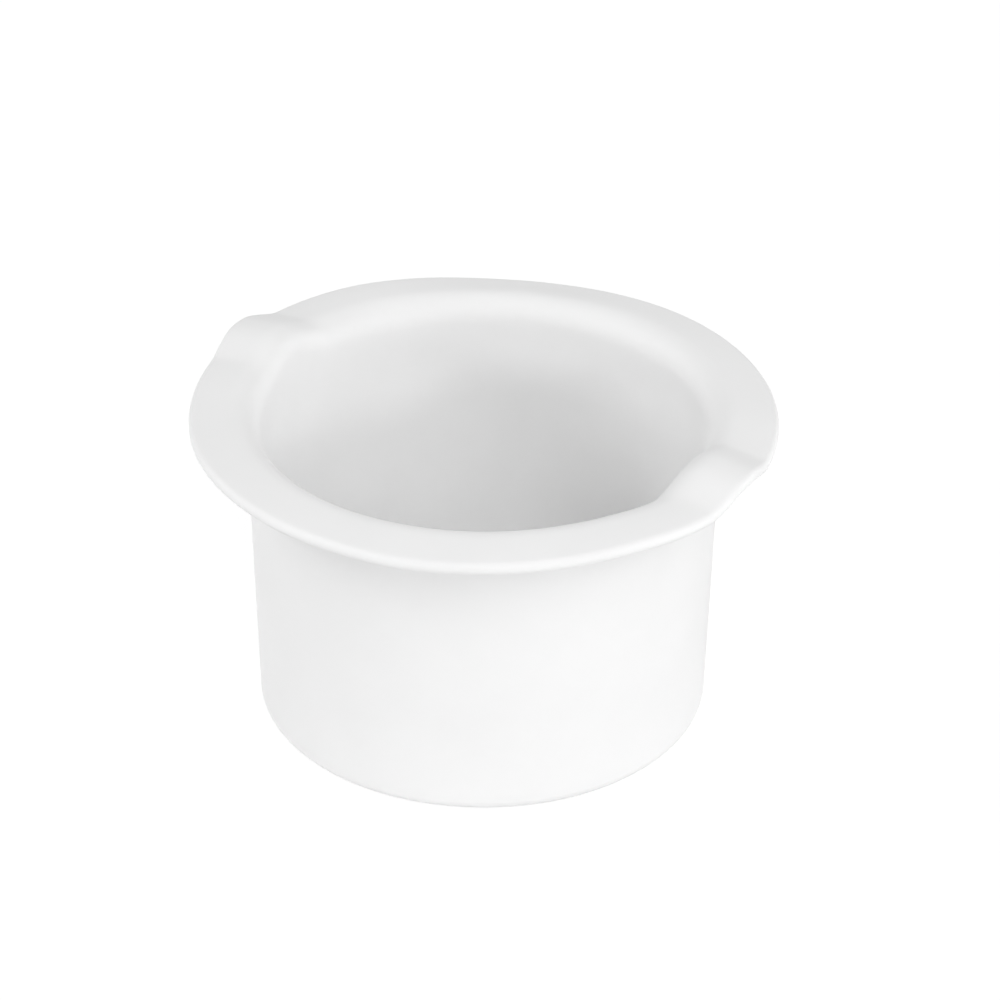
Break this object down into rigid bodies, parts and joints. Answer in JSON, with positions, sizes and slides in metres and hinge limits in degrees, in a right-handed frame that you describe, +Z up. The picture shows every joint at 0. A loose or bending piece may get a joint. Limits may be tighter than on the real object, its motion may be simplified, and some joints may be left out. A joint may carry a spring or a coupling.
{
  "type": "wax heater inner pot",
  "caption": "Round moulded cup with a wide sloping flange and opposed arched finger lifts: the removable liner that holds melted wax in a wax heater.",
  "frame": {"origin": "middle of the flat underside, on the cup's axis", "axes": "+Z up along the cup's axis and out of its mouth, +X through the middle of a finger lift"},
  "size_m": [0.128, 0.127, 0.076],
  "materials": {
    "white_silicone": "satin white silicone with a fine moulded texture"
  },
  "bodies": {
    "root": {"wax_pot": "white_silicone"}
  },
  "joints": []
}
